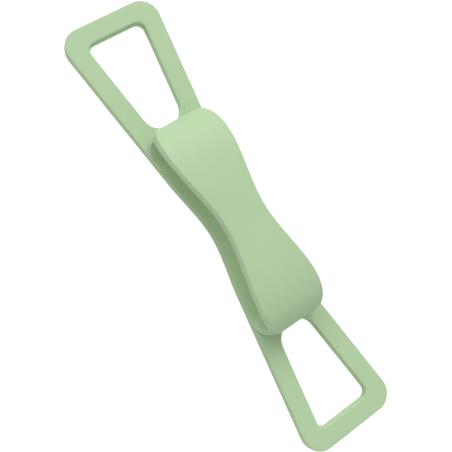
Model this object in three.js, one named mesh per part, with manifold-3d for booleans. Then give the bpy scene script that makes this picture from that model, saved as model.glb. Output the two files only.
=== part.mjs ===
// Silicone finger strap for the back of a phone.
// One moulding: a flat plate with a window at each end and a finger loop raised over its middle.
// Units are millimetres. +X runs along the strap, +Y across it, +Z up from the face that lies on the phone.
// The origin is the centre of the underside.

import * as THREE from 'three';
import { mergeVertices, toCreasedNormals } from 'three/addons/utils/BufferGeometryUtils.js';
import Module from 'manifold-3d';

// Plate, seen from above
const LENGTH = 130;
const END_WIDTH = 29.7; // across the two tapers, measured where they meet the end line
const WAIST_WIDTH = 11.9;
const TAPER_ANGLE = THREE.MathUtils.degToRad(7.6);
const TAPER_START = 17.8; // the tapers are straight from here to the ends
const END_CORNER_RADIUS = 5.3;
const PLATE_THICKNESS = 2.8;

// Windows
const END_BAR = 5.4; // between the window and the end of the strap
const RAIL = 5.4; // on either side of the window
const WINDOW_START = 31; // from the middle of the strap
const WINDOW_INNER_RADIUS = 5.1;
const WINDOW_OUTER_RADIUS = 2.2;

// Loop, seen from the side
const LOOP_TOP = 17;
const LOOP_REACH = 30.8; // the bends bulge out this far from the middle
const BULGE_HEIGHT = 6.85; // the height at which they do
const CROWN_WALL = 3.5;
const BULGE_WALL = 2.3;
const FOOT_OUTSIDE = 25.8; // where the outer face comes down to the plate
const FOOT_WALL = 2.1;

// Loop, seen from above
const BEND_CORNER_START = 18.5; // the band's corners start to round here
const BEND_FACE_WIDTH = 11.1; // what is left of the width at the outermost line
const BEND_CORNER_POWER = 1.95; // 2 makes the corner a quarter ellipse, 1 a straight cut
const FOOT_CORNER_START = 26.55; // the same corner below the bulge
const TUNNEL_CORNER_START = 21.3; // the same corner on the tunnel's side of the band
const FOOT_INSET = 0.1;

// How full the loop's curves are: the pull of each curve's two handles, as a share of the way to its corner
const SHOULDER_PULL = { up: 1, along: 0.54 };
const TUNNEL_SHOULDER_PULL = { up: 1, along: 0.61 };
const HEEL_PULL = { up: 0.3, along: 0.22 };
const TUNNEL_HEEL_PULL = { up: 0.32, along: 0.2 };

// Roundings and fineness
const EDGE_RADIUS = 0.4;
const FOOT_SINK = 0.4; // the loop's faces run this far into the plate before they level out
const ROOT_DEPTH = 1.2; // the loop's ends go down this far inside the plate
const EDGE_STEPS = 3;
const CURVE_STEPS = 12;
const SHOULDER_STEPS = 20;
const HEEL_STEPS = 8;
const CREASE = THREE.MathUtils.degToRad(32);

// What follows from the driving sizes
const halfLength = LENGTH / 2;
const taperSlope = Math.tan(TAPER_ANGLE);
const waistHalfWidth = WAIST_WIDTH / 2;
const taperStartHalfWidth = taperHalfWidth(TAPER_START);
const tunnelReach = LOOP_REACH - BULGE_WALL;
const tunnelTop = LOOP_TOP - CROWN_WALL;
const footInside = FOOT_OUTSIDE - FOOT_WALL;
const footLevel = PLATE_THICKNESS - FOOT_SINK;

// Half width of the straight taper, carried on to any distance from the middle
function taperHalfWidth(x) {
  return END_WIDTH / 2 - taperSlope * (halfLength - x);
}

// The waist is one cubic curve on each side: level in the middle, and in line with the taper where that starts
function waistHandles() {
  const third = TAPER_START / 3;
  return {
    nearWaist: new THREE.Vector2(third, waistHalfWidth),
    nearTaper: new THREE.Vector2(TAPER_START - third, taperStartHalfWidth - taperSlope * third),
  };
}

// Half width of the strap at any distance from its middle
function strapHalfWidth(x) {
  const distance = Math.abs(x);
  if (distance >= TAPER_START) {
    return taperHalfWidth(distance);
  }
  const { nearWaist, nearTaper } = waistHandles();
  const t = distance / TAPER_START;
  const s = 1 - t;
  const held = 3 * s * s * t * nearWaist.y + 3 * s * t * t * nearTaper.y;
  return s * s * s * waistHalfWidth + held + t * t * t * taperStartHalfWidth;
}

// Centre of a circle that touches the inside of a line set in from the taper, and an upright line
function cornerCentre(uprightX, radius, direction, setIn) {
  const x = uprightX - direction * radius;
  const y = taperHalfWidth(x) - (setIn + radius) / Math.cos(TAPER_ANGLE);
  return new THREE.Vector2(x, y);
}

// The plate's outline, anticlockwise from the right end
function plateOutline() {
  const corner = cornerCentre(halfLength, END_CORNER_RADIUS, 1, 0);
  const { nearWaist, nearTaper } = waistHandles();
  const upright = Math.PI / 2;
  const radius = END_CORNER_RADIUS;
  const shape = new THREE.Shape();
  shape.moveTo(halfLength, -corner.y);
  shape.absarc(corner.x, corner.y, radius, 0, upright + TAPER_ANGLE);
  shape.lineTo(TAPER_START, taperStartHalfWidth);
  shape.bezierCurveTo(nearTaper.x, nearTaper.y, nearWaist.x, nearWaist.y, 0, waistHalfWidth);
  shape.bezierCurveTo(-nearWaist.x, nearWaist.y, -nearTaper.x, nearTaper.y, -TAPER_START, taperStartHalfWidth);
  shape.absarc(-corner.x, corner.y, radius, upright - TAPER_ANGLE, Math.PI);
  shape.absarc(-corner.x, -corner.y, radius, Math.PI, 3 * upright + TAPER_ANGLE);
  shape.lineTo(-TAPER_START, -taperStartHalfWidth);
  shape.bezierCurveTo(-nearTaper.x, -nearTaper.y, -nearWaist.x, -nearWaist.y, 0, -waistHalfWidth);
  shape.bezierCurveTo(nearWaist.x, -nearWaist.y, nearTaper.x, -nearTaper.y, TAPER_START, -taperStartHalfWidth);
  shape.absarc(corner.x, -corner.y, radius, 3 * upright - TAPER_ANGLE, 4 * upright);
  return shape;
}

// The window's round end by the loop can't be rounder than a half circle between its rails
function windowInnerRadius() {
  const halfGap = taperHalfWidth(WINDOW_START) - RAIL / Math.cos(TAPER_ANGLE);
  const halfCircle = halfGap / (1 / Math.cos(TAPER_ANGLE) - taperSlope);
  return Math.min(WINDOW_INNER_RADIUS, halfCircle);
}

// A window follows the tapers at a rail's width, with small corners at the end bar and large ones by the loop
function windowOutline(side) {
  const innerRadius = windowInnerRadius();
  const outer = cornerCentre(halfLength - END_BAR, WINDOW_OUTER_RADIUS, 1, RAIL);
  const inner = cornerCentre(WINDOW_START, innerRadius, -1, RAIL);
  const alongTaper = Math.PI / 2 + TAPER_ANGLE;
  const path = new THREE.Path();
  const corner = (centre, up, radius, from, to) => {
    const start = side > 0 ? from : Math.PI - from;
    const end = side > 0 ? to : Math.PI - to;
    path.absarc(side * centre.x, up * centre.y, radius, start, end, side < 0);
  };
  corner(outer, 1, WINDOW_OUTER_RADIUS, 0, alongTaper);
  corner(inner, 1, innerRadius, alongTaper, Math.PI);
  corner(inner, -1, innerRadius, Math.PI, 2 * Math.PI - alongTaper);
  corner(outer, -1, WINDOW_OUTER_RADIUS, 2 * Math.PI - alongTaper, 2 * Math.PI);
  path.closePath();
  return path;
}

// The plate is its outline pulled up to its thickness, with every edge rounded
function plateGeometry() {
  const shape = plateOutline();
  shape.holes.push(windowOutline(1), windowOutline(-1));
  const geometry = new THREE.ExtrudeGeometry(shape, {
    depth: PLATE_THICKNESS - 2 * EDGE_RADIUS,
    curveSegments: CURVE_STEPS,
    bevelEnabled: true,
    bevelThickness: EDGE_RADIUS,
    bevelSize: EDGE_RADIUS,
    bevelOffset: -EDGE_RADIUS,
    bevelSegments: EDGE_STEPS,
  });
  return geometry.translate(0, 0, EDGE_RADIUS);
}

// The band keeps the strap's own width, less a quarter superellipse that rounds its corners at the bends
function bandHalfWidth(x, cornerStart, inset) {
  const distance = Math.min(Math.abs(x), LOOP_REACH);
  const along = Math.max(0, (distance - cornerStart) / (LOOP_REACH - cornerStart));
  const drop = strapHalfWidth(LOOP_REACH) - BEND_FACE_WIDTH / 2 - inset;
  const left = (1 - along ** BEND_CORNER_POWER) ** (1 / BEND_CORNER_POWER);
  return strapHalfWidth(distance) - inset - drop * (1 - left);
}

// One quarter of the loop in side view: it leaves the bulge upright and ends level
function quarterCurve(bulgeX, endX, endZ, pull) {
  return new THREE.CubicBezierCurve(
    new THREE.Vector2(bulgeX, BULGE_HEIGHT),
    new THREE.Vector2(bulgeX, THREE.MathUtils.lerp(BULGE_HEIGHT, endZ, pull.up)),
    new THREE.Vector2(THREE.MathUtils.lerp(endX, bulgeX, pull.along), endZ),
    new THREE.Vector2(endX, endZ),
  );
}

// Stations of the loop's right half, from its root inside the plate up to the crown
function halfLoopStations() {
  const outerShoulder = quarterCurve(LOOP_REACH, 0, LOOP_TOP, SHOULDER_PULL);
  const innerShoulder = quarterCurve(tunnelReach, 0, tunnelTop, TUNNEL_SHOULDER_PULL);
  const outerHeel = quarterCurve(LOOP_REACH, FOOT_OUTSIDE, footLevel, HEEL_PULL);
  const innerHeel = quarterCurve(tunnelReach, footInside, footLevel, TUNNEL_HEEL_PULL);
  const stations = [];
  for (let i = 0; i <= HEEL_STEPS; i += 1) {
    const t = 1 - i / HEEL_STEPS;
    const outer = outerHeel.getPoint(t);
    const inner = innerHeel.getPoint(t);
    const upper = bandHalfWidth(inner.x, TUNNEL_CORNER_START, 0);
    const lower = bandHalfWidth(inner.x, FOOT_CORNER_START, FOOT_INSET);
    const innerHalf = THREE.MathUtils.lerp(upper, lower, t);
    stations.push({ outer, inner, outerHalf: bandHalfWidth(outer.x, FOOT_CORNER_START, FOOT_INSET), innerHalf });
  }
  for (let i = 1; i <= SHOULDER_STEPS; i += 1) {
    const outer = outerShoulder.getPoint(i / SHOULDER_STEPS);
    const inner = innerShoulder.getPoint(i / SHOULDER_STEPS);
    stations.push({
      outer,
      inner,
      outerHalf: bandHalfWidth(outer.x, BEND_CORNER_START, 0),
      innerHalf: bandHalfWidth(inner.x, TUNNEL_CORNER_START, 0),
    });
  }
  const foot = stations[0];
  const rootLevel = footLevel - ROOT_DEPTH;
  stations.unshift({
    ...foot,
    outer: new THREE.Vector2(foot.outer.x, rootLevel),
    inner: new THREE.Vector2(foot.inner.x, rootLevel),
  });
  return stations;
}

// Mirror a station to the loop's left half
function mirrored(station) {
  const flip = (p) => new THREE.Vector2(-p.x, p.y);
  return { ...station, outer: flip(station.outer), inner: flip(station.inner) };
}

// One section of the band: a four-sided ring with rounded corners, as points in space
function bandSection({ outer, inner, outerHalf, innerHalf }) {
  const corners = [
    new THREE.Vector3(inner.x, -innerHalf, inner.y),
    new THREE.Vector3(outer.x, -outerHalf, outer.y),
    new THREE.Vector3(outer.x, outerHalf, outer.y),
    new THREE.Vector3(inner.x, innerHalf, inner.y),
  ];
  const ring = [];
  corners.forEach((corner, i) => {
    const towards = (other) => other.clone().sub(corner).setLength(EDGE_RADIUS).add(corner);
    const before = towards(corners[(i + 3) % 4]);
    const after = towards(corners[(i + 1) % 4]);
    const round = new THREE.QuadraticBezierCurve3(before, corner, after);
    ring.push(...round.getPoints(EDGE_STEPS));
  });
  return ring;
}

// A closed skin over a row of rings, with a flat cap on the first and the last
function loft(rings) {
  const count = rings[0].length;
  const positions = rings.flat().flatMap((p) => [p.x, p.y, p.z]);
  const index = [];
  for (let r = 0; r + 1 < rings.length; r += 1) {
    for (let i = 0; i < count; i += 1) {
      const a = r * count + i;
      const b = r * count + ((i + 1) % count);
      index.push(a, b, a + count, b, b + count, a + count);
    }
  }
  const last = (rings.length - 1) * count;
  for (let i = 1; i + 1 < count; i += 1) {
    index.push(0, i + 1, i, last, last + i, last + i + 1);
  }
  const geometry = new THREE.BufferGeometry();
  geometry.setAttribute('position', new THREE.Float32BufferAttribute(positions, 3));
  geometry.setIndex(index);
  return geometry;
}

// The loop runs from its right root over the crown to its left root
function loopGeometry() {
  const right = halfLoopStations();
  const left = right.slice(0, -1).reverse().map(mirrored);
  return loft([...right, ...left].map(bandSection));
}

// Join two closed geometries into one solid
async function join(first, second) {
  const wasm = await Module();
  wasm.setup();
  const solid = (geometry) => {
    const bare = geometry.clone();
    bare.deleteAttribute('normal');
    bare.deleteAttribute('uv');
    const merged = mergeVertices(bare, 1e-4);
    return new wasm.Manifold(new wasm.Mesh({
      numProp: 3,
      vertProperties: new Float32Array(merged.attributes.position.array),
      triVerts: new Uint32Array(merged.index.array),
    }));
  };
  const mesh = solid(first).add(solid(second)).getMesh();
  const geometry = new THREE.BufferGeometry();
  geometry.setAttribute('position', new THREE.BufferAttribute(mesh.vertProperties, 3));
  geometry.setIndex(new THREE.BufferAttribute(mesh.triVerts, 1));
  return toCreasedNormals(geometry, CREASE);
}

const silicone = new THREE.MeshStandardMaterial({ color: 0xb5cfa8, roughness: 0.7, metalness: 0 });

const strap = new THREE.Mesh(await join(plateGeometry(), loopGeometry()), silicone);
strap.name = 'strap';

const model = new THREE.Group();
model.add(strap);

export default model;
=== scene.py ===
"""Dresses a silicone finger strap for the back of a phone and sets it in a white studio.

The strap is one moulding: a flat plate with a window at each end, and a finger loop raised over its middle.
Lengths are metres. +X runs along the strap, +Y across it, +Z up from the face that lies on the phone.
"""

import logging
import math
from dataclasses import dataclass, field
from enum import Enum

import bmesh
import bpy
import numpy as np
from mathutils import Matrix, Vector

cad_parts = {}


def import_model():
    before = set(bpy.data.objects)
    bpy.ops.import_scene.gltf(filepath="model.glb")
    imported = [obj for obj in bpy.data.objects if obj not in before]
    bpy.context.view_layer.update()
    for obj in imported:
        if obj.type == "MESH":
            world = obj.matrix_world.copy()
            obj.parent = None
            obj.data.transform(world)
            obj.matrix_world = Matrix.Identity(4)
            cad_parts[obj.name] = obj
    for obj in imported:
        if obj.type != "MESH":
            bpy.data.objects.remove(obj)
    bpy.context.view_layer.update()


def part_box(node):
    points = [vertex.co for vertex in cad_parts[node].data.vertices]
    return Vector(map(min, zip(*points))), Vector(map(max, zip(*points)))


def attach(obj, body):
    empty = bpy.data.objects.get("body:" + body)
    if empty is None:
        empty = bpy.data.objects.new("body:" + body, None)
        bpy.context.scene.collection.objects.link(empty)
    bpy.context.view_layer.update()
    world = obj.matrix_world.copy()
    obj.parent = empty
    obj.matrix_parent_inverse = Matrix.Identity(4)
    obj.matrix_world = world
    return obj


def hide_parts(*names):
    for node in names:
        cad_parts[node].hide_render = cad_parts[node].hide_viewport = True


LOG = logging.getLogger("finger_strap")
MM = 0.001
NODE = "strap"


class Finish(Enum):
    """The names of the materials."""

    SILICONE = "matte_silicone"
    FLOOR = "studio_floor"


def smooth_bezier(points: np.ndarray, t: np.ndarray) -> np.ndarray:
    """Points of a cubic curve: (1-t)^3 P0 + 3 (1-t)^2 t P1 + 3 (1-t) t^2 P2 + t^3 P3.

    Args:
        points: The four control points, one a row.
        t: Where on the curve, from 0 to 1.

    Returns:
        One point a row.
    """
    t = t[:, None]
    s = 1 - t
    return s**3 * points[0] + 3 * s**2 * t * points[1] + 3 * s * t**2 * points[2] + t**3 * points[3]


def bezier_slope(points: np.ndarray, t: np.ndarray) -> np.ndarray:
    """Derivative of the cubic curve: 3 ((1-t)^2 (P1-P0) + 2 (1-t) t (P2-P1) + t^2 (P3-P2)).

    Args:
        points: The four control points, one a row.
        t: Where on the curve, from 0 to 1.

    Returns:
        One direction a row.
    """
    t = t[:, None]
    s = 1 - t
    steps = np.diff(points, axis=0)
    return 3 * (s**2 * steps[0] + 2 * s * t * steps[1] + t**2 * steps[2])


def grid_faces(rows: int, columns: int, closed: bool) -> np.ndarray:
    """Quads of a grid of points that is numbered row by row.

    Args:
        rows: How many rows of points.
        columns: How many points in a row.
        closed: Whether the last point of a row joins the first.

    Returns:
        Four point numbers a row.
    """
    r = np.arange(rows - 1)[:, None]
    c = np.arange(columns if closed else columns - 1)[None, :]
    after = (c + 1) % columns
    corners = (r * columns + c, r * columns + after, (r + 1) * columns + after, (r + 1) * columns + c)
    return np.stack([np.broadcast_to(k, (rows - 1, c.size)) for k in corners], axis=-1).reshape(-1, 4)


@dataclass
class Skin:
    """Points and faces of a surface while it is put together."""

    points: np.ndarray = field(default_factory=lambda: np.zeros((0, 3)))
    faces: list = field(default_factory=list)

    def add_grid(self, grid: np.ndarray, closed: bool = False, flip: bool = False) -> None:
        """Adds a grid of points with its quads.

        Args:
            grid: Rows by columns by three.
            closed: Whether each row closes on itself.
            flip: Whether the quads turn the other way.
        """
        rows, columns = grid.shape[:2]
        quads = grid_faces(rows, columns, closed) + len(self.points)
        self.points = np.vstack([self.points, grid.reshape(-1, 3)])
        self.faces.extend((quads[:, ::-1] if flip else quads).tolist())

    def add_mirrored(self, axis: int) -> None:
        """Adds the mirror image of all that is there, with its faces turned back outwards.

        Args:
            axis: 0 to mirror end for end, 1 to mirror side for side.
        """
        flipped = self.points.copy()
        flipped[:, axis] *= -1
        shift = len(self.points)
        self.points = np.vstack([self.points, flipped])
        self.faces.extend([[k + shift for k in reversed(face)] for face in self.faces])

    def make_object(self, name: str, merge: float) -> bpy.types.Object:
        """Puts the surface into a new object, with its doubled points merged.

        Args:
            name: The object's name.
            merge: Points closer than this become one.

        Returns:
            The object, linked to the scene.
        """
        mesh = bpy.data.meshes.new(name)
        mesh.from_pydata(self.points.tolist(), [], self.faces)
        work = bmesh.new()
        work.from_mesh(mesh)
        bmesh.ops.remove_doubles(work, verts=work.verts, dist=merge)
        bmesh.ops.recalc_face_normals(work, faces=work.faces)
        work.to_mesh(mesh)
        work.free()
        piece = bpy.data.objects.new(name, mesh)
        bpy.context.scene.collection.objects.link(piece)
        return piece


@dataclass
class Plate:
    """The flat plate: tapers that narrow to a waist, and a window near each end."""

    length: float
    end_width: float = 29.7 * MM
    waist_width: float = 11.9 * MM
    taper_angle: float = math.radians(7.6)
    taper_start: float = 17.8 * MM
    corner_radius: float = 5.3 * MM
    thickness: float = 2.8 * MM
    end_bar: float = 5.4 * MM
    rail: float = 5.4 * MM
    window_start: float = 31 * MM
    window_inner_radius: float = 5.1 * MM
    window_outer_radius: float = 2.2 * MM
    edge_radius: float = 0.4 * MM
    edge_steps: int = 6
    end_steps: int = 10
    corner_steps: int = 14
    rail_steps: int = 24
    waist_steps: int = 36
    centre_steps: int = 6
    face_steps: int = 8

    @property
    def half_length(self) -> float:
        """Half of the strap's length."""
        return self.length / 2

    @property
    def slope(self) -> float:
        """How fast the half width grows along the taper."""
        return math.tan(self.taper_angle)

    def taper_half_width(self, x: np.ndarray | float) -> np.ndarray | float:
        """Half width of the straight taper: half the end width less slope times the way from the end.

        Args:
            x: The distance from the middle.

        Returns:
            The half width there.
        """
        return self.end_width / 2 - self.slope * (self.half_length - x)

    def waist_curve(self) -> np.ndarray:
        """Control points of the waist: level in the middle, in line with the taper where that starts.

        Returns:
            Four points, from the middle outwards.
        """
        third = self.taper_start / 3
        edge = self.taper_half_width(self.taper_start)
        waist = self.waist_width / 2
        return np.array([
            [0, waist],
            [third, waist],
            [self.taper_start - third, edge - self.slope * third],
            [self.taper_start, edge],
        ])

    def half_width(self, x: np.ndarray) -> np.ndarray:
        """Half width of the strap: the taper, or the waist's cubic curve where |x| is below the taper's start.

        Args:
            x: Distances from the middle.

        Returns:
            The half widths there.
        """
        distance = np.abs(x)
        t = np.clip(distance / self.taper_start, 0, 1)
        waist = smooth_bezier(self.waist_curve(), t)[:, 1]
        return np.where(distance >= self.taper_start, self.taper_half_width(distance), waist)

    def corner_centre(self, upright: float, radius: float, direction: int, set_in: float) -> np.ndarray:
        """Centre of a circle that touches an upright line and the inside of a line set in from the taper.

        Args:
            upright: The upright line's distance from the middle.
            radius: The circle's radius.
            direction: 1 where the circle lies on the middle's side of the line, -1 on the other.
            set_in: How far in from the taper the other line runs.

        Returns:
            The centre.
        """
        x = upright - direction * radius
        return np.array([x, self.taper_half_width(x) - (set_in + radius) / math.cos(self.taper_angle)])

    def arc(self, centre: np.ndarray, radius: float, start: float, end: float) -> np.ndarray:
        """Points of an arc: centre plus radius times (cos a, sin a).

        Args:
            centre: The arc's centre.
            radius: Its radius.
            start: The angle at its first point.
            end: The angle at its last point.

        Returns:
            One point a row.
        """
        a = np.linspace(start, end, self.corner_steps + 1)
        return centre + radius * np.stack([np.cos(a), np.sin(a)], axis=-1)

    def end_line(self, x: float, corner_y: float) -> np.ndarray:
        """Points across the end at one x, from the centre line up to a corner that isn't repeated.

        Args:
            x: The line's distance from the middle of the strap.
            corner_y: Where the corner starts.

        Returns:
            One point a row.
        """
        y = np.linspace(0, corner_y, self.end_steps, endpoint=False)
        return np.stack([np.full_like(y, x), y], axis=-1)

    def outer_chain(self, inset: float) -> np.ndarray:
        """A quarter of the outline, from the middle of the end round to the waist, set in by a distance.

        Args:
            inset: How far inside the outline the chain runs.

        Returns:
            One point a row.
        """
        centre = self.corner_centre(self.half_length, self.corner_radius, 1, 0)
        along_taper = math.pi / 2 + self.taper_angle
        corner = self.arc(centre, self.corner_radius - inset, 0, along_taper)
        x_end = self.half_length - inset
        end = self.end_line(x_end, corner[0, 1])
        normal = np.array([-math.sin(self.taper_angle), math.cos(self.taper_angle)])
        rail_x = self.window_start + self.window_inner_radius
        turn = np.array([rail_x, self.taper_half_width(rail_x)]) - inset * normal
        rail = np.linspace(corner[-1], turn, self.rail_steps + 1)[1:]
        taper_steps = self.waist_steps // 3
        knee = np.array([self.taper_start, self.taper_half_width(self.taper_start)]) - inset * normal
        taper = np.linspace(turn, knee, taper_steps + 1)[1:]
        t = np.linspace(1, 0, self.waist_steps - taper_steps + 1)[1:]
        curve = self.waist_curve()
        slope = bezier_slope(curve, t)
        outward = np.stack([-slope[:, 1], slope[:, 0]], axis=-1) / np.linalg.norm(slope, axis=1)[:, None]
        waist = smooth_bezier(curve, t) - inset * outward
        return np.vstack([end, corner, rail, taper, waist])

    def centre_chain(self, inset: float) -> np.ndarray:
        """The line across the middle of the strap, from inside the waist to the centre line.

        Args:
            inset: How far inside the outline the line starts.

        Returns:
            One point a row.
        """
        y = np.linspace(self.waist_width / 2 - inset, 0, self.centre_steps + 1)
        return np.stack([np.zeros_like(y), y], axis=-1)

    def window_chain(self, inset: float) -> np.ndarray:
        """A quarter of the material's edge round the window, set into the material by a distance.

        Args:
            inset: How far into the material the chain runs.

        Returns:
            One point a row, as many as the outer chain and the centre chain together.
        """
        outer = self.corner_centre(self.half_length - self.end_bar, self.window_outer_radius, 1, self.rail)
        inner = self.corner_centre(self.window_start, self.window_inner_radius, -1, self.rail)
        along_taper = math.pi / 2 + self.taper_angle
        corner = self.arc(outer, self.window_outer_radius + inset, 0, along_taper)
        x_end = self.half_length - self.end_bar + inset
        end = self.end_line(x_end, corner[0, 1])
        a = np.linspace(along_taper, math.pi, self.waist_steps + 1)
        radius = self.window_inner_radius + inset
        turn = inner + radius * np.stack([np.cos(a), np.sin(a)], axis=-1)
        rail = np.linspace(corner[-1], turn[0], self.rail_steps + 1)[1:]
        flat = np.linspace(turn[-1], np.array([turn[-1, 0], 0]), self.centre_steps + 1)[1:]
        return np.vstack([end, corner, rail, turn[1:], flat])

    def edge_profile(self) -> tuple[np.ndarray, np.ndarray]:
        """The rounded edge from top to underside: inset r (1 - cos a), height r sin a from each face's fillet.

        Returns:
            The insets and the heights.
        """
        a = np.linspace(math.pi / 2, 0, self.edge_steps + 1)
        r = self.edge_radius
        inset = r * (1 - np.cos(a))
        top = self.thickness - r + r * np.sin(a)
        return np.concatenate([inset, inset[::-1]]), np.concatenate([top, self.thickness - top[::-1]])

    def skin(self) -> Skin:
        """The plate's closed surface: caps between window and outline, and rounded edges carried along both.

        Returns:
            The surface of all four quarters.
        """
        insets, heights = self.edge_profile()
        skin = Skin()
        outer = np.stack([self.outer_chain(d) for d in insets])
        window = np.stack([self.window_chain(d) for d in insets])
        for chain, flip in ((outer, False), (window, True)):
            z = np.broadcast_to(heights[:, None, None], (*chain.shape[:2], 1))
            skin.add_grid(np.concatenate([chain, z], axis=-1), flip=flip)
        hem = self.edge_radius
        rim = np.vstack([self.outer_chain(hem), self.centre_chain(hem)[1:]])
        t = np.linspace(0, 1, self.face_steps + 1)[:, None, None]
        face = (1 - t) * self.window_chain(hem) + t * rim
        for z, flip in ((self.thickness, True), (0.0, False)):
            level = np.full((*face.shape[:2], 1), z)
            skin.add_grid(np.concatenate([face, level], axis=-1), flip=flip)
        skin.add_mirrored(1)
        skin.add_mirrored(0)
        return skin


@dataclass
class FingerLoop:
    """The band raised over the plate: an even crown, two bends that bulge out, and feet sunk into the plate."""

    plate: Plate
    top: float = 17 * MM
    reach: float = 30.8 * MM
    bulge_height: float = 6.85 * MM
    crown_wall: float = 3.5 * MM
    bulge_wall: float = 2.3 * MM
    foot_outside: float = 25.8 * MM
    foot_wall: float = 2.1 * MM
    foot_sink: float = 0.4 * MM
    root_depth: float = 1.2 * MM
    corner_start: float = 18.5 * MM
    bend_face_width: float = 11.1 * MM
    corner_power: float = 1.95
    foot_corner_start: float = 26.55 * MM
    tunnel_corner_start: float = 21.3 * MM
    foot_inset: float = 0.1 * MM
    edge_radius: float = 0.4 * MM
    shoulder_pull: tuple[float, float] = (1.0, 0.54)
    tunnel_shoulder_pull: tuple[float, float] = (1.0, 0.61)
    heel_pull: tuple[float, float] = (0.3, 0.22)
    tunnel_heel_pull: tuple[float, float] = (0.32, 0.2)
    edge_steps: int = 6
    shoulder_steps: int = 72
    heel_steps: int = 24

    def half_width(self, x: np.ndarray, corner_start: float, inset: float) -> np.ndarray:
        """Half width of the band: the strap's own, less a superellipse's drop (1 - (1 - k^n)^(1/n)).

        Args:
            x: Distances from the middle.
            corner_start: Where the curve starts, at k = 0; it ends at the reach, at k = 1.
            inset: How much narrower than the strap the band is on each side.

        Returns:
            The half widths there.
        """
        distance = np.minimum(np.abs(x), self.reach)
        k = np.clip((distance - corner_start) / (self.reach - corner_start), 0, 1)
        drop = self.plate.half_width(np.array([self.reach]))[0] - self.bend_face_width / 2 - inset
        left = (1 - k**self.corner_power) ** (1 / self.corner_power)
        return self.plate.half_width(distance) - inset - drop * (1 - left)

    def quarter(
        self, bulge: float, end: tuple[float, float], pull: tuple[float, float], t: np.ndarray
    ) -> np.ndarray:
        """One quarter of the loop in side view: a cubic curve that leaves the bulge upright and ends level.

        Args:
            bulge: The bulge's distance from the middle.
            end: The curve's end, along and up.
            pull: How far the two handles reach towards the corner, up and along.
            t: Where on the curve.

        Returns:
            One point a row, along and up.
        """
        up, along = pull
        start_z = self.bulge_height
        points = np.array([
            [bulge, start_z],
            [bulge, start_z + up * (end[1] - start_z)],
            [end[0] + along * (bulge - end[0]), end[1]],
            [end[0], end[1]],
        ])
        return smooth_bezier(points, t)

    def stations(self) -> tuple[np.ndarray, np.ndarray, np.ndarray, np.ndarray]:
        """Side view and half widths of the right half, from the root inside the plate up to the crown.

        Returns:
            Outer points, inner points, outer half widths and inner half widths.
        """
        level = self.plate.thickness - self.foot_sink
        tunnel_reach = self.reach - self.bulge_wall
        foot_inside = self.foot_outside - self.foot_wall
        down = np.linspace(1, 0, self.heel_steps + 1)
        up = np.linspace(0, 1, self.shoulder_steps + 1)[1:]
        outer_heel = self.quarter(self.reach, (self.foot_outside, level), self.heel_pull, down)
        inner_heel = self.quarter(tunnel_reach, (foot_inside, level), self.tunnel_heel_pull, down)
        outer_top = self.quarter(self.reach, (0, self.top), self.shoulder_pull, up)
        inner_top = self.quarter(tunnel_reach, (0, self.top - self.crown_wall), self.tunnel_shoulder_pull, up)
        outer_low = self.half_width(outer_heel[:, 0], self.foot_corner_start, self.foot_inset)
        inner_foot = self.half_width(inner_heel[:, 0], self.foot_corner_start, self.foot_inset)
        inner_bend = self.half_width(inner_heel[:, 0], self.tunnel_corner_start, 0)
        inner_low = inner_bend + down * (inner_foot - inner_bend)
        outer = np.vstack([outer_heel[:1], outer_heel, outer_top])
        inner = np.vstack([inner_heel[:1], inner_heel, inner_top])
        outer[0, 1] = inner[0, 1] = level - self.root_depth
        outer_up = self.half_width(outer_top[:, 0], self.corner_start, 0)
        outer_half = np.concatenate([outer_low[:1], outer_low, outer_up])
        inner_up = self.half_width(inner_top[:, 0], self.tunnel_corner_start, 0)
        inner_half = np.concatenate([inner_low[:1], inner_low, inner_up])
        return outer, inner, outer_half, inner_half

    def rings(self) -> np.ndarray:
        """Sections of the band: a corner C between directions p, q is C + r (p (1 - sin a) + q (1 - cos a)).

        Returns:
            Stations by ring points by three, from the right root over the crown to the left root.
        """
        outer, inner, outer_half, inner_half = self.stations()
        corners = np.stack([
            np.stack([inner[:, 0], -inner_half, inner[:, 1]], axis=-1),
            np.stack([outer[:, 0], -outer_half, outer[:, 1]], axis=-1),
            np.stack([outer[:, 0], outer_half, outer[:, 1]], axis=-1),
            np.stack([inner[:, 0], inner_half, inner[:, 1]], axis=-1),
        ], axis=1)
        before = np.roll(corners, 1, axis=1) - corners
        after = np.roll(corners, -1, axis=1) - corners
        before /= np.linalg.norm(before, axis=-1, keepdims=True)
        after /= np.linalg.norm(after, axis=-1, keepdims=True)
        a = np.linspace(0, math.pi / 2, self.edge_steps + 1)[None, None, :, None]
        bend = before[:, :, None] * (1 - np.sin(a)) + after[:, :, None] * (1 - np.cos(a))
        half = (corners[:, :, None] + self.edge_radius * bend).reshape(len(outer), -1, 3)
        other = half[:-1][::-1] * np.array([-1, 1, 1])
        return np.concatenate([half, other])

    def skin(self) -> Skin:
        """The loop's closed surface: its sections joined in order, with a flat cap on each root.

        Returns:
            The surface.
        """
        rings = self.rings()
        skin = Skin()
        skin.add_grid(rings, closed=True)
        count = rings.shape[1]
        last = (len(rings) - 1) * count
        skin.faces.append(list(range(count))[::-1])
        skin.faces.append(list(range(last, last + count)))
        return skin


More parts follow.
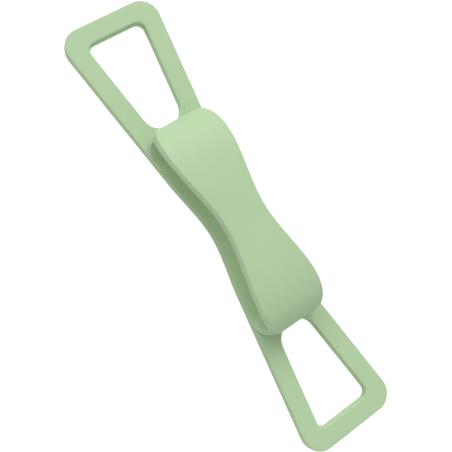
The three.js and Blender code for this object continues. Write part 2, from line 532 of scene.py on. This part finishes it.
@dataclass(frozen=True)
class MatteSilicone:
    """Pale green silicone with a dry, powdery surface and the fine grain of a blasted mould."""

    colour: tuple[float, float, float] = (0.46, 0.636, 0.38)
    deeper: tuple[float, float, float] = (0.428, 0.612, 0.352)
    cloud_size: float = 14 * MM
    patch_size: float = 2.2 * MM
    grain_size: float = 0.16 * MM
    grain_depth: float = 0.012 * MM
    ripple_size: float = 5 * MM
    ripple_depth: float = 0.02 * MM
    noise_low: float = 0.3
    noise_high: float = 0.7
    smoothest: float = 0.42
    roughest: float = 0.58
    specular: float = 0.38

    def noise(self, tree: bpy.types.NodeTree, size: float, detail: float) -> bpy.types.Node:
        """Adds a noise whose lumps have about the given size on the object.

        Args:
            tree: The material's nodes.
            size: The size of a lump.
            detail: How many finer layers lie on it.

        Returns:
            The noise node.
        """
        coordinates = tree.nodes.new("ShaderNodeTexCoord")
        noise = tree.nodes.new("ShaderNodeTexNoise")
        noise.inputs["Scale"].default_value = 1 / size
        noise.inputs["Detail"].default_value = detail
        tree.links.new(coordinates.outputs["Object"], noise.inputs["Vector"])
        return noise

    def relief(self, tree: bpy.types.NodeTree, size: float, depth: float, detail: float) -> bpy.types.Node:
        """Adds a bump made by a noise.

        Args:
            tree: The material's nodes.
            size: The size of a lump.
            depth: How high the lumps stand.
            detail: How many finer layers lie on them.

        Returns:
            The bump node.
        """
        bump = tree.nodes.new("ShaderNodeBump")
        bump.inputs["Distance"].default_value = depth
        tree.links.new(self.noise(tree, size, detail).outputs["Fac"], bump.inputs["Height"])
        return bump

    def material(self) -> bpy.types.Material:
        """Makes the material.

        Returns:
            The material.
        """
        material = bpy.data.materials.new(Finish.SILICONE.value)
        material.use_nodes = True
        tree = material.node_tree
        shader = tree.nodes["Principled BSDF"]
        shader.inputs["Specular IOR Level"].default_value = self.specular
        tint = tree.nodes.new("ShaderNodeMix")
        tint.data_type = "RGBA"
        tint.inputs["A"].default_value = (*self.deeper, 1)
        tint.inputs["B"].default_value = (*self.colour, 1)
        tree.links.new(self.noise(tree, self.cloud_size, 3).outputs["Fac"], tint.inputs["Factor"])
        tree.links.new(tint.outputs["Result"], shader.inputs["Base Color"])
        spread = tree.nodes.new("ShaderNodeMapRange")
        spread.inputs["From Min"].default_value = self.noise_low
        spread.inputs["From Max"].default_value = self.noise_high
        spread.inputs["To Min"].default_value = self.smoothest
        spread.inputs["To Max"].default_value = self.roughest
        tree.links.new(self.noise(tree, self.patch_size, 4).outputs["Fac"], spread.inputs["Value"])
        tree.links.new(spread.outputs["Result"], shader.inputs["Roughness"])
        ripple = self.relief(tree, self.ripple_size, self.ripple_depth, 1)
        grain = self.relief(tree, self.grain_size, self.grain_depth, 2)
        tree.links.new(ripple.outputs["Normal"], grain.inputs["Normal"])
        tree.links.new(grain.outputs["Normal"], shader.inputs["Normal"])
        return material


@dataclass
class Strap:
    """The whole moulding."""

    length: float
    finish: MatteSilicone = field(default_factory=MatteSilicone)
    merge: float = 0.001 * MM
    crease: float = math.radians(30)

    def build(self) -> bpy.types.Object:
        """Joins plate and loop into one solid, and dresses it.

        Returns:
            The strap.
        """
        plate = Plate(self.length)
        loop = FingerLoop(plate)
        strap = plate.skin().make_object("finger_strap", self.merge)
        band = loop.skin().make_object("band", self.merge)
        union = strap.modifiers.new("join", "BOOLEAN")
        union.operation = "UNION"
        union.solver = "EXACT"
        union.object = band
        bpy.context.view_layer.update()
        done = strap.evaluated_get(bpy.context.evaluated_depsgraph_get())
        joined = bpy.data.meshes.new_from_object(done)
        strap.modifiers.clear()
        strap.data = joined
        bpy.data.objects.remove(band)
        joined.shade_smooth()
        joined.set_sharp_from_angle(angle=self.crease)
        joined.materials.clear()
        joined.materials.append(self.finish.material())
        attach(strap, "root")
        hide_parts(NODE)
        return strap


@dataclass(frozen=True)
class SoftLamp:
    """A broad distant lamp: where it shines from, its strength, how wide it looks and its colour."""

    name: str
    direction: tuple[float, float, float]
    strength: float
    width: float
    colour: tuple[float, float, float] = (1, 1, 1)

    def build(self) -> bpy.types.Object:
        """Makes the lamp.

        Returns:
            The lamp.
        """
        data = bpy.data.lights.new(self.name, "SUN")
        data.energy = self.strength
        data.angle = self.width
        data.color = self.colour
        lamp = bpy.data.objects.new(self.name, data)
        lamp.rotation_euler = (-Vector(self.direction)).to_track_quat("-Z", "Y").to_euler()
        bpy.context.scene.collection.objects.link(lamp)
        return lamp


@dataclass
class Studio:
    """A white floor, an even white surround and soft lamps."""

    floor_half: float = 0.6
    floor_colour: float = 0.9
    floor_roughness: float = 0.9
    floor_glow: float = 0.6
    surround: float = 0.34
    lamps: tuple[SoftLamp, ...] = (
        SoftLamp("key", (-0.54, 0.54, 0.64), 1.2, math.radians(40)),
        SoftLamp("left", (-0.766, 0, 0.643), 1.1, math.radians(40)),
        SoftLamp("right", (0.766, 0, 0.643), 0.4, math.radians(40)),
        SoftLamp("front", (0, -0.643, 0.766), 0.4, math.radians(40), (1, 0.86, 1)),
    )

    def floor(self) -> bpy.types.Object:
        """Makes the floor that the strap lies on.

        Returns:
            The floor.
        """
        half = self.floor_half
        mesh = bpy.data.meshes.new("floor")
        corners = [(-half, -half, 0), (half, -half, 0), (half, half, 0), (-half, half, 0)]
        mesh.from_pydata(corners, [], [(0, 1, 2, 3)])
        floor = bpy.data.objects.new("floor", mesh)
        bpy.context.scene.collection.objects.link(floor)
        mesh.materials.append(self.floor_material())
        return floor

    def floor_material(self) -> bpy.types.Material:
        """Makes the floor's matte white, a little brighter to the camera than to the strap.

        Returns:
            The material.
        """
        material = bpy.data.materials.new(Finish.FLOOR.value)
        material.use_nodes = True
        tree = material.node_tree
        shader = tree.nodes["Principled BSDF"]
        shader.inputs["Base Color"].default_value = (self.floor_colour,) * 3 + (1,)
        shader.inputs["Roughness"].default_value = self.floor_roughness
        shader.inputs["Specular IOR Level"].default_value = 0
        shader.inputs["Emission Color"].default_value = (1, 1, 1, 1)
        tree.links.new(self.seen_strength(tree, self.floor_glow, 0), shader.inputs["Emission Strength"])
        return material

    def seen_strength(self, tree: bpy.types.NodeTree, seen: float, otherwise: float) -> bpy.types.NodeSocket:
        """Adds a value that differs between what the camera sees and what lights the strap.

        Args:
            tree: The nodes to add to.
            seen: The value for the camera.
            otherwise: The value for all other rays.

        Returns:
            The socket that gives the value.
        """
        path = tree.nodes.new("ShaderNodeLightPath")
        choice = tree.nodes.new("ShaderNodeMix")
        choice.inputs["A"].default_value = otherwise
        choice.inputs["B"].default_value = seen
        tree.links.new(path.outputs["Is Camera Ray"], choice.inputs["Factor"])
        return choice.outputs["Result"]

    def world(self) -> None:
        """Lights the scene evenly, with pure white where the camera sees past the floor."""
        world = bpy.data.worlds.new("surround")
        bpy.context.scene.world = world
        world.use_nodes = True
        tree = world.node_tree
        background = tree.nodes["Background"]
        background.inputs["Color"].default_value = (1, 1, 1, 1)
        tree.links.new(self.seen_strength(tree, 1, self.surround), background.inputs["Strength"])

    def build(self) -> None:
        """Sets up the floor, the surround and the lamps."""
        self.floor()
        self.world()
        for lamp in self.lamps:
            lamp.build()


@dataclass
class PhotoCamera:
    """The camera at the photograph's place, found by fitting the strap's outline."""

    place: tuple[float, float, float] = (-4.638 * MM, -53.338 * MM, 172.223 * MM)
    right: tuple[float, float, float] = (0.52166, 0.81192, 0.26202)
    down: tuple[float, float, float] = (0.85278, -0.50524, -0.13224)
    lens: float = 52.71
    sensor: float = 36.0

    def build(self) -> bpy.types.Object:
        """Makes the camera and sets it as the scene's.

        Returns:
            The camera.
        """
        data = bpy.data.cameras.new("camera")
        data.lens = self.lens
        data.sensor_width = self.sensor
        data.clip_start = 1 * MM
        camera = bpy.data.objects.new("camera", data)
        right = Vector(self.right)
        up = -Vector(self.down)
        back = right.cross(up)
        turn = Matrix((right, up, back)).transposed()
        camera.matrix_world = Matrix.Translation(self.place) @ turn.to_4x4()
        bpy.context.scene.collection.objects.link(camera)
        bpy.context.scene.camera = camera
        return camera


def main() -> None:
    """Loads the frame, builds the strap, the studio and the camera."""
    logging.basicConfig(level=logging.INFO, format="%(name)s: %(message)s")
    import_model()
    low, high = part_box(NODE)
    strap = Strap(length=high.x - low.x).build()
    LOG.info("%s: %d faces", strap.name, len(strap.data.polygons))
    Studio().build()
    LOG.info("studio ready")
    PhotoCamera().build()
    bpy.context.scene.view_settings.view_transform = "Standard"


if __name__ == "__main__":
    main()
